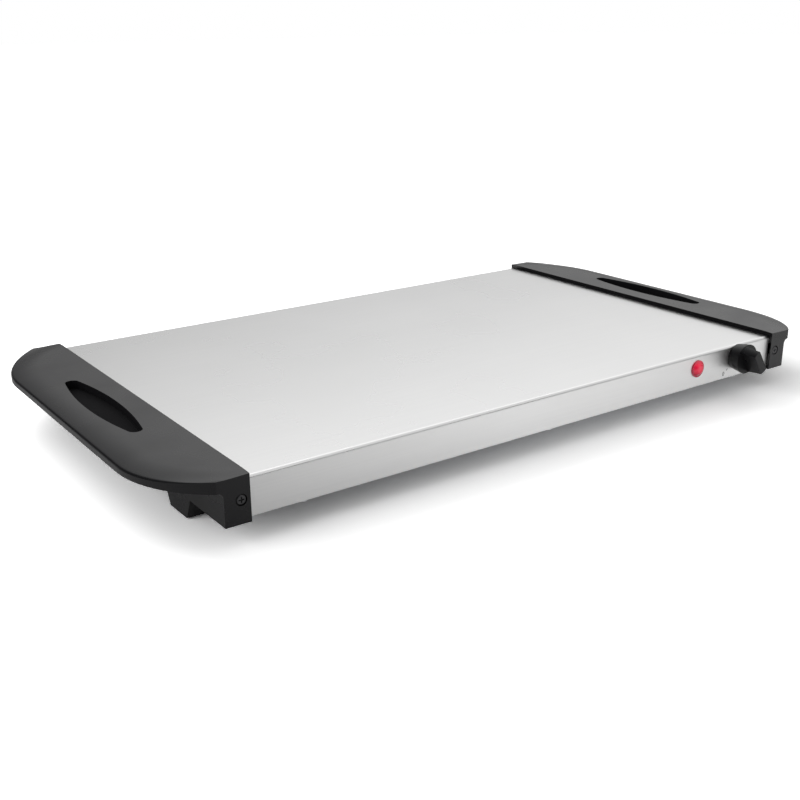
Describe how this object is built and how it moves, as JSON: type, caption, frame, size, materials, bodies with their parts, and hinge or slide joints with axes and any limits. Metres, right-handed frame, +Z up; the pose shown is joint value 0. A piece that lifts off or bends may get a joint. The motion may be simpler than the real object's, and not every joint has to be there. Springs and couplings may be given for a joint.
{
  "type": "electric food warmer tray",
  "caption": "Flat electric food warming tray: folded steel plate between two black end-cap handles on feet, with a front control knob, pilot lamp and rear inlet.",
  "frame": {"origin": "on the table, under the middle of the outline from the knob's end to the back of the end caps", "axes": "+X along the tray from the left handle to the right one, +Y from the front with the knob to the back, +Z up"},
  "size_m": [0.615, 0.358, 0.0485],
  "materials": {
    "stainless_steel": "fine satin brush, bent sheet",
    "zinc_steel": "bright zinc plate",
    "black_moulding": "satin black moulding with a fine grain",
    "knob_plastic": "satin black",
    "inlet_plastic": "smooth black",
    "black_rubber": "matt",
    "dark_screws": "blackened steel",
    "aluminium_sheet": "rolled",
    "aluminium_foil": "foil",
    "silicone_insulation": "smooth",
    "glass_felt": "needled felt",
    "brass": "bright",
    "ceramic": "glazed steatite",
    "bimetal": "rolled strip",
    "red_lens": "clear red, faceted inside",
    "bulb_glass": "clear",
    "ivory_plastic": "moulded",
    "brown_wire": "smooth",
    "black_wire": "smooth",
    "blue_wire": "smooth",
    "green_wire": "smooth"
  },
  "bodies": {
    "tray": {"top_cover": "stainless_steel", "base_plate": "zinc_steel", "left_end_cap": "black_moulding", "right_end_cap": "black_moulding", "foot_pads": "black_rubber", "cap_screws": "dark_screws", "spring_nuts": "zinc_steel", "base_screws": "zinc_steel", "heat_spreader": "aluminium_sheet", "heating_wire": "silicone_insulation", "foil_backing": "aluminium_foil", "insulating_felt": "glass_felt", "weld_studs": "zinc_steel", "clamp_bars": "zinc_steel", "stud_nuts": "zinc_steel", "thermostat_frame": "zinc_steel", "bush_nut": "brass", "stack_rivet": "zinc_steel", "ceramic_spacers": "ceramic", "contact_blades": "brass", "bimetal_strip": "bimetal", "lamp_lens": "red_lens", "lamp_barrel": "ivory_plastic", "neon_bulb": "bulb_glass", "lamp_ring": "zinc_steel", "mains_inlet": "inlet_plastic", "inlet_pins": "brass", "inlet_screws": "zinc_steel", "inlet_nuts": "zinc_steel", "terminal_block": "ivory_plastic", "terminal_screws": "brass", "thermal_fuse": "bimetal", "fuse_clip": "zinc_steel", "earth_tag": "brass", "live_wire": "brown_wire", "switched_wire": "black_wire", "neutral_wire": "blue_wire", "earth_wire": "green_wire", "lamp_wires": "black_wire", "heater_leads": "silicone_insulation"},
    "knob": {"control_knob": "knob_plastic", "control_shaft": "zinc_steel", "knob_clip": "zinc_steel"}
  },
  "joints": [
    {"name": "knob_turn", "type": "hinge", "parent": "tray", "child": "knob", "pos_m": [0.2075, -0.15405, 0.0352], "axis": [0, 1, 0], "range_deg": [-102, 168]}
  ]
}
